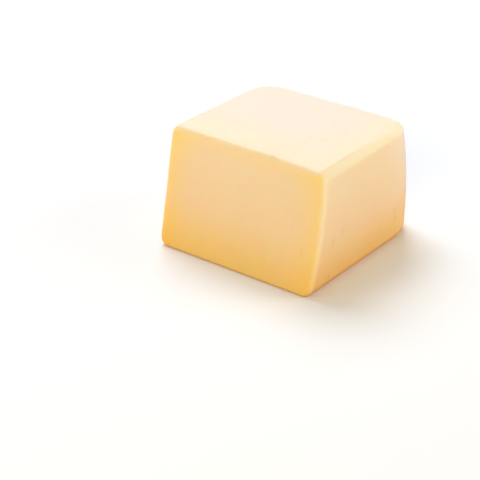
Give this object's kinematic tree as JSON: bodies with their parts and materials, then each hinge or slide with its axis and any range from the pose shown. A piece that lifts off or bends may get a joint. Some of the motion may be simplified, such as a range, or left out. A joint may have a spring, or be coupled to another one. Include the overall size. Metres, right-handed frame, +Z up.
{
  "type": "mozzarella block",
  "caption": "Half loaf of pale low-moisture mozzarella with softly rounded moulded edges and one slanted, smooth knife-cut face, standing on its flat underside.",
  "frame": {"origin": "under the middle of the block's bounding box, on the surface it stands on", "axes": "+Z up, +X to the right across the cut face, +Y back from the cut face to the moulded end"},
  "size_m": [0.1538, 0.1406, 0.0953],
  "materials": {
    "cheese": "smooth, slightly moist satin, pale cream to warm yellow"
  },
  "bodies": {
    "root": {"mozzarella_block": "cheese"}
  },
  "joints": []
}
